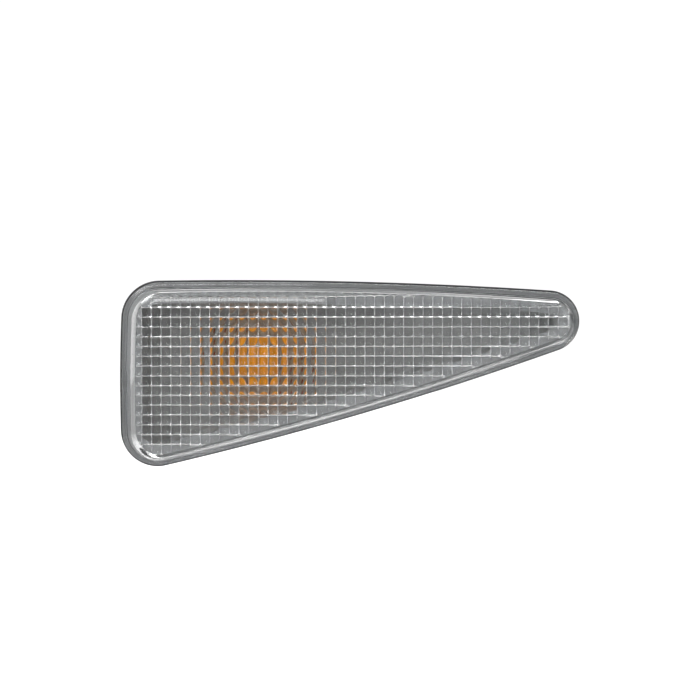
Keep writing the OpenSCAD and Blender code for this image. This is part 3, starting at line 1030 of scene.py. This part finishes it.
turns, per = 17, 14
coil = [(-1.8, 0, -8.7), (-1.72, 0.1, -8.62)]
for i in range(turns * per + 1):
    a = 2 * math.pi * i / per
    coil.append((-1.62 + 3.24 * i / (turns * per), 0.235 * math.cos(a + 1.2),
                 -8.7 + 0.235 * math.sin(a + 1.2)))
coil += [(1.72, 0.1, -8.62), (1.8, 0, -8.7)]
finish_piece(tube("filament_coil", coil, 0.05, 7), "filament_coil", "holder_unit", "bulb_filament",
             TUNGSTEN)

# ---------------------------------------------------------------------------
# Studio
# ---------------------------------------------------------------------------
scene = bpy.context.scene
scene.view_settings.view_transform = "Standard"
scene.view_settings.look = "None"
scene.view_settings.exposure = 0.0
scene.cycles.max_bounces = 24
scene.cycles.transmission_bounces = 20
scene.cycles.glossy_bounces = 8
scene.cycles.diffuse_bounces = 5
scene.cycles.use_denoising = True

world = bpy.data.worlds.new("studio")
scene.world = world
world.use_nodes = True
wn, wl = world.node_tree.nodes, world.node_tree.links
bg = wn["Background"]
wo = wn["World Output"]
tc = wn.new("ShaderNodeTexCoord")
sep = wn.new("ShaderNodeSeparateXYZ")
wl.new(tc.outputs["Generated"], sep.inputs[0])


def spread(socket, a, b, how="SMOOTHSTEP"):
    mr = wn.new("ShaderNodeMapRange")
    mr.interpolation_type = how
    mr.inputs["From Min"].default_value = a
    mr.inputs["From Max"].default_value = b
    wl.new(socket, mr.inputs["Value"])
    return mr.outputs["Result"]


# a soft light in front, dim sides and a bright wall behind
ramp = wn.new("ShaderNodeValToRGB")
wl.new(spread(sep.outputs["Y"], -1.0, 1.0, "LINEAR"), ramp.inputs["Fac"])
e = ramp.color_ramp.elements
LEVELS = ((0.0, 0.008), (0.025, 0.014), (0.06, 0.042), (0.13, 0.046), (0.22, 0.115), (0.42, 0.115), (0.52, 0.055),
          (1.0, 0.050))     # a tenth of the radiance, from the front to the back
for k, (p, g) in enumerate(LEVELS):
    x = e[k] if k < 2 else e.new(p)
    x.position, x.color = p, (g, g, g, 1)
side = wn.new("ShaderNodeValToRGB")
wl.new(spread(sep.outputs["X"], -1.0, 1.0, "LINEAR"), side.inputs["Fac"])
e = side.color_ramp.elements
e[0].position, e[0].color = 0.04, (1.5, 1.5, 1.5, 1)
e[1].position, e[1].color = 0.85, (0.5, 0.5, 0.5, 1)
x = e.new(0.20)
x.color = (0.6, 0.6, 0.6, 1)
high = wn.new("ShaderNodeValToRGB")
wl.new(spread(sep.outputs["Z"], -1.0, 1.0, "LINEAR"), high.inputs["Fac"])
e = high.color_ramp.elements
e[0].position, e[0].color = 0.15, (0.6, 0.6, 0.6, 1)
e[1].position, e[1].color = 0.97, (1.35, 1.35, 1.35, 1)
x = e.new(0.80)
x.color = (1, 1, 1, 1)


def times(a, b):
    mx = wn.new("ShaderNodeMix")
    mx.data_type = "RGBA"
    mx.blend_type = "MULTIPLY"
    mx.inputs["Factor"].default_value = 1.0
    wl.new(a, mx.inputs["A"])
    wl.new(b, mx.inputs["B"])
    return mx.outputs["Result"]


wl.new(times(times(ramp.outputs["Color"], side.outputs["Color"]), high.outputs["Color"]),
       bg.inputs["Color"])
bg.inputs["Strength"].default_value = 10.0
white = wn.new("ShaderNodeBackground")
white.inputs["Color"].default_value = (1, 1, 1, 1)
white.inputs["Strength"].default_value = 1.05
lp = wn.new("ShaderNodeLightPath")
mix = wn.new("ShaderNodeMixShader")
wl.new(lp.outputs["Is Camera Ray"], mix.inputs["Fac"])
wl.new(bg.outputs[0], mix.inputs[1])
wl.new(white.outputs[0], mix.inputs[2])
wl.new(mix.outputs[0], wo.inputs["Surface"])


def area(name, loc, aim, size, watts, colour=(1, 1, 1), size_y=None):
    d = bpy.data.lights.new(name, "AREA")
    d.shape = "RECTANGLE"
    d.size = size
    d.size_y = size_y or size
    d.energy = watts
    d.color = colour
    o = bpy.data.objects.new(name, d)
    scene.collection.objects.link(o)
    o.location = loc
    o.rotation_mode = "QUATERNION"
    o.rotation_quaternion = (Vector(aim) - Vector(loc)).to_track_quat("-Z", "Y")
    return o


area("key", (-0.385, -0.42, 0.525), (0.015, 0, 0), 0.315, 3.4)
area("fill", (0.525, -0.49, 0.175), (0.015, 0, 0), 0.35, 0.9)
area("spark", (-0.30, -0.58, 0.33), (0.015, 0, 0), 0.2, 0.8)
area("front", (-0.05, -0.75, 0.16), (0.015, 0, 0), 0.16, 0.7)
area("rear", (0.07, 0.63, 0.49), (0.015, 0, 0), 0.42, 2.0)

# floor
fm = bpy.data.meshes.new("floor")
fb = bmesh.new()
bmesh.ops.create_grid(fb, x_segments=40, y_segments=40, size=4.0)
fb.to_mesh(fm)
fb.free()
floor = bpy.data.objects.new("floor", fm)
floor.location = (0, 0, -0.2)
scene.collection.objects.link(floor)
fmat = Mat("pale_floor", Roughness=0.9)
fmat.colour(fmat.noise(1.2, 2), [(0.3, (0.66, 0.66, 0.66)), (0.7, (0.69, 0.69, 0.69))])
fmat.b.inputs["Emission Color"].default_value = (1, 1, 1, 1)
fsep = fmat.n.new("ShaderNodeSeparateXYZ")
fmat.link(fmat.co, fsep.inputs[0])
fabs = fmat.n.new("ShaderNodeMath")
fabs.operation = "ABSOLUTE"
fmat.link(fsep.outputs["X"], fabs.inputs[0])
fm1 = fmat.n.new("ShaderNodeMath")
fm1.operation = "MULTIPLY"
fmat.link(fmat.span(fsep.outputs["Y"], 0.0, 1.0, 0.45, 0.85), fm1.inputs[0])
fmat.link(fmat.span(fabs.outputs[0], 0.92, 0.03, 0.6, 1.0), fm1.inputs[1])
fmat.link(fm1.outputs[0], fmat.b.inputs["Emission Strength"])
fm.materials.append(fmat.m)

# camera
PXMM = 0.18260          # millimetres to a picture point at the lamp's rim
DIST = 0.56
AZ, EL = math.radians(-2.0), math.radians(2.0)
cam = bpy.data.cameras.new("camera")
cam.sensor_width = 36.0
cam.lens = 36.0 * DIST / (700 * PXMM * MM)
cam_ob = bpy.data.objects.new("camera", cam)
scene.collection.objects.link(cam_ob)
aim = Vector((0.01649, -0.00105, 0.00216))
back_dir = Vector((math.sin(AZ) * math.cos(EL), -math.cos(AZ) * math.cos(EL), math.sin(EL)))
cam_ob.location = aim + back_dir * DIST
cam_ob.rotation_mode = "QUATERNION"
cam_ob.rotation_quaternion = (-back_dir).to_track_quat("-Z", "Y")
cam.clip_start, cam.clip_end = 0.01, 50
scene.camera = cam_ob
